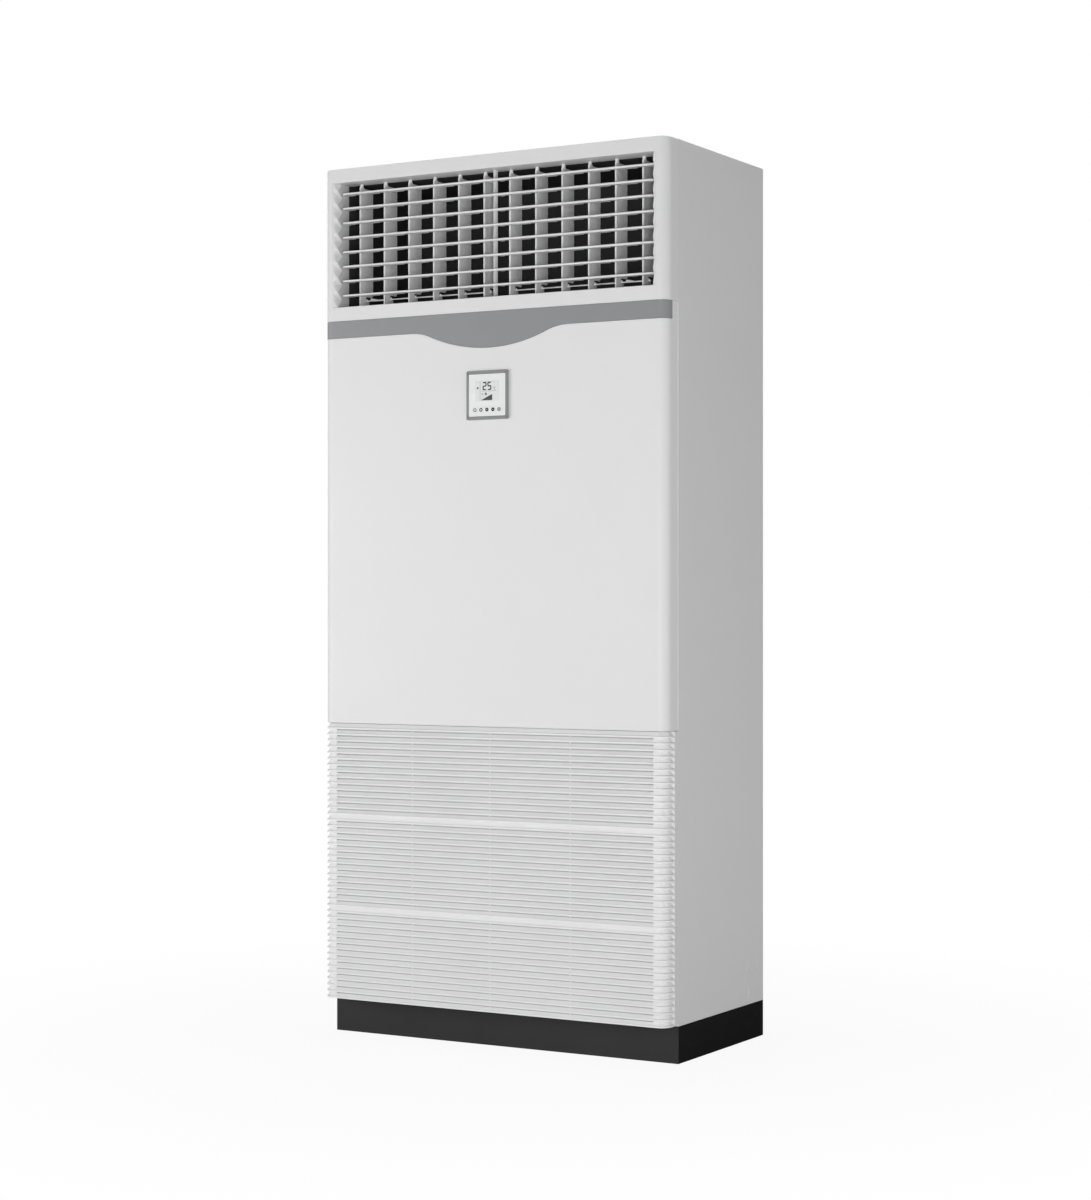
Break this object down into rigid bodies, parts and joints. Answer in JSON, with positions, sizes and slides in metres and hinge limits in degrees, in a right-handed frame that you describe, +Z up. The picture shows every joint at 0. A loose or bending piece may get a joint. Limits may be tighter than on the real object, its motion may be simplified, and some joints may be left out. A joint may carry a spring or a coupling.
{
  "type": "floor standing air conditioner",
  "caption": "Tall floor standing air conditioner cabinet with a louvred air outlet of tilting blades and linked upright vanes, a control panel and a ribbed intake grille.",
  "frame": {"origin": "on the floor, in the middle of the outer box", "axes": "+X to the right seen from the front, +Y to the back, +Z up"},
  "size_m": [0.827, 0.456, 1.85],
  "materials": {
    "shell_grey": "satin powder coat, light grey",
    "panel_white": "satin powder coat, grey white",
    "frame_white": "satin moulded plastic, grey white",
    "grille_white": "satin moulded plastic, grey white",
    "trim_grey": "satin mid grey",
    "plinth_black": "satin black paint",
    "duct_black": "matt black lining",
    "louvre_grey": "satin moulded plastic, light grey",
    "bezel_grey": "mid grey plastic",
    "face_white": "smooth white plastic",
    "display_glass": "pale grey display behind clear plastic",
    "filter_mesh": "pale woven air filter"
  },
  "bodies": {
    "cabinet": {"plinth_front": "plinth_black", "plinth_rear": "plinth_black", "plinth_left": "plinth_black", "plinth_right": "plinth_black", "side_panel_left": "shell_grey", "side_panel_right": "shell_grey", "back_panel": "shell_grey", "top_panel": "shell_grey", "base_pan": "shell_grey", "discharge_frame": "frame_white", "air_box": "duct_black", "blade_holder_left": "frame_white", "blade_holder_right": "frame_white", "centre_strip": "frame_white", "front_panel": "panel_white", "trim_band": "trim_grey", "intake_grille_upper": "grille_white", "intake_grille_middle": "grille_white", "intake_grille_lower": "grille_white", "air_filter": "filter_mesh", "control_bezel": "bezel_grey", "control_face": "face_white", "display_window": "display_glass", "keypad": "face_white"},
    "vane_left_1": {"vane_left_1": "louvre_grey"},
    "vane_left_2": {"vane_left_2": "louvre_grey"},
    "vane_left_3": {"vane_left_3": "louvre_grey"},
    "vane_left_4": {"vane_left_4": "louvre_grey"},
    "vane_left_5": {"vane_left_5": "louvre_grey"},
    "vane_left_6": {"vane_left_6": "louvre_grey"},
    "vane_right_1": {"vane_right_1": "louvre_grey"},
    "vane_right_2": {"vane_right_2": "louvre_grey"},
    "vane_right_3": {"vane_right_3": "louvre_grey"},
    "vane_right_4": {"vane_right_4": "louvre_grey"},
    "vane_right_5": {"vane_right_5": "louvre_grey"},
    "vane_right_6": {"vane_right_6": "louvre_grey"},
    "link_rod_left": {"link_rod_left": "louvre_grey"},
    "link_rod_right": {"link_rod_right": "louvre_grey"},
    "blade_1": {"blade_1": "louvre_grey"},
    "blade_2": {"blade_2": "louvre_grey"},
    "blade_3": {"blade_3": "louvre_grey"},
    "blade_4": {"blade_4": "louvre_grey"},
    "blade_5": {"blade_5": "louvre_grey"},
    "blade_6": {"blade_6": "louvre_grey"},
    "blade_7": {"blade_7": "louvre_grey"},
    "blade_8": {"blade_8": "louvre_grey"}
  },
  "joints": [
    {"name": "vane_left_1_swing", "type": "hinge", "parent": "cabinet", "child": "vane_left_1", "pos_m": [-0.3421, -0.181, 1.69], "axis": [0, 0, 1], "range_deg": [-30, 30]},
    {"name": "vane_left_2_swing", "type": "hinge", "parent": "cabinet", "child": "vane_left_2", "pos_m": [-0.2799, -0.181, 1.69], "axis": [0, 0, 1], "range_deg": [-30, 30]},
    {"name": "vane_left_3_swing", "type": "hinge", "parent": "cabinet", "child": "vane_left_3", "pos_m": [-0.2177, -0.181, 1.69], "axis": [0, 0, 1], "range_deg": [-30, 30]},
    {"name": "vane_left_4_swing", "type": "hinge", "parent": "cabinet", "child": "vane_left_4", "pos_m": [-0.1555, -0.181, 1.69], "axis": [0, 0, 1], "range_deg": [-30, 30]},
    {"name": "vane_left_5_swing", "type": "hinge", "parent": "cabinet", "child": "vane_left_5", "pos_m": [-0.0933, -0.181, 1.69], "axis": [0, 0, 1], "range_deg": [-30, 30]},
    {"name": "vane_left_6_swing", "type": "hinge", "parent": "cabinet", "child": "vane_left_6", "pos_m": [-0.0311, -0.181, 1.69], "axis": [0, 0, 1], "range_deg": [-30, 30]},
    {"name": "vane_right_1_swing", "type": "hinge", "parent": "cabinet", "child": "vane_right_1", "pos_m": [0.0311, -0.181, 1.69], "axis": [0, 0, 1], "range_deg": [-30, 30]},
    {"name": "vane_right_2_swing", "type": "hinge", "parent": "cabinet", "child": "vane_right_2", "pos_m": [0.0933, -0.181, 1.69], "axis": [0, 0, 1], "range_deg": [-30, 30]},
    {"name": "vane_right_3_swing", "type": "hinge", "parent": "cabinet", "child": "vane_right_3", "pos_m": [0.1555, -0.181, 1.69], "axis": [0, 0, 1], "range_deg": [-30, 30]},
    {"name": "vane_right_4_swing", "type": "hinge", "parent": "cabinet", "child": "vane_right_4", "pos_m": [0.2177, -0.181, 1.69], "axis": [0, 0, 1], "range_deg": [-30, 30]},
    {"name": "vane_right_5_swing", "type": "hinge", "parent": "cabinet", "child": "vane_right_5", "pos_m": [0.2799, -0.181, 1.69], "axis": [0, 0, 1], "range_deg": [-30, 30]},
    {"name": "vane_right_6_swing", "type": "hinge", "parent": "cabinet", "child": "vane_right_6", "pos_m": [0.3421, -0.181, 1.69], "axis": [0, 0, 1], "range_deg": [-30, 30]},
    {"name": "link_rod_left_turn", "type": "hinge", "parent": "vane_left_1", "child": "link_rod_left", "pos_m": [-0.3421, -0.161, 1.5721], "axis": [0, 0, 1], "range_deg": [-30, 30]},
    {"name": "link_rod_right_turn", "type": "hinge", "parent": "vane_right_1", "child": "link_rod_right", "pos_m": [0.0311, -0.161, 1.5721], "axis": [0, 0, 1], "range_deg": [-30, 30]},
    {"name": "blade_1_tilt", "type": "hinge", "parent": "cabinet", "child": "blade_1", "pos_m": [0, -0.192, 1.7976], "axis": [1, 0, 0], "range_deg": [-30, 30]},
    {"name": "blade_2_tilt", "type": "hinge", "parent": "cabinet", "child": "blade_2", "pos_m": [0, -0.192, 1.76654], "axis": [1, 0, 0], "range_deg": [-30, 30]},
    {"name": "blade_3_tilt", "type": "hinge", "parent": "cabinet", "child": "blade_3", "pos_m": [0, -0.192, 1.73549], "axis": [1, 0, 0], "range_deg": [-30, 30]},
    {"name": "blade_4_tilt", "type": "hinge", "parent": "cabinet", "child": "blade_4", "pos_m": [0, -0.192, 1.70443], "axis": [1, 0, 0], "range_deg": [-30, 30]},
    {"name": "blade_5_tilt", "type": "hinge", "parent": "cabinet", "child": "blade_5", "pos_m": [0, -0.192, 1.67337], "axis": [1, 0, 0], "range_deg": [-30, 30]},
    {"name": "blade_6_tilt", "type": "hinge", "parent": "cabinet", "child": "blade_6", "pos_m": [0, -0.192, 1.64231], "axis": [1, 0, 0], "range_deg": [-30, 30]},
    {"name": "blade_7_tilt", "type": "hinge", "parent": "cabinet", "child": "blade_7", "pos_m": [0, -0.192, 1.61126], "axis": [1, 0, 0], "range_deg": [-30, 30]},
    {"name": "blade_8_tilt", "type": "hinge", "parent": "cabinet", "child": "blade_8", "pos_m": [0, -0.192, 1.5802], "axis": [1, 0, 0], "range_deg": [-30, 30]}
  ],
  "couplings": [
    {"joint": "vane_left_2_swing", "follows": "vane_left_1_swing", "ratio": 1},
    {"joint": "vane_left_3_swing", "follows": "vane_left_1_swing", "ratio": 1},
    {"joint": "vane_left_4_swing", "follows": "vane_left_1_swing", "ratio": 1},
    {"joint": "vane_left_5_swing", "follows": "vane_left_1_swing", "ratio": 1},
    {"joint": "vane_left_6_swing", "follows": "vane_left_1_swing", "ratio": 1},
    {"joint": "vane_right_2_swing", "follows": "vane_right_1_swing", "ratio": 1},
    {"joint": "vane_right_3_swing", "follows": "vane_right_1_swing", "ratio": 1},
    {"joint": "vane_right_4_swing", "follows": "vane_right_1_swing", "ratio": 1},
    {"joint": "vane_right_5_swing", "follows": "vane_right_1_swing", "ratio": 1},
    {"joint": "vane_right_6_swing", "follows": "vane_right_1_swing", "ratio": 1},
    {"joint": "link_rod_left_turn", "follows": "vane_left_1_swing", "ratio": -1},
    {"joint": "link_rod_right_turn", "follows": "vane_right_1_swing", "ratio": -1}
  ]
}
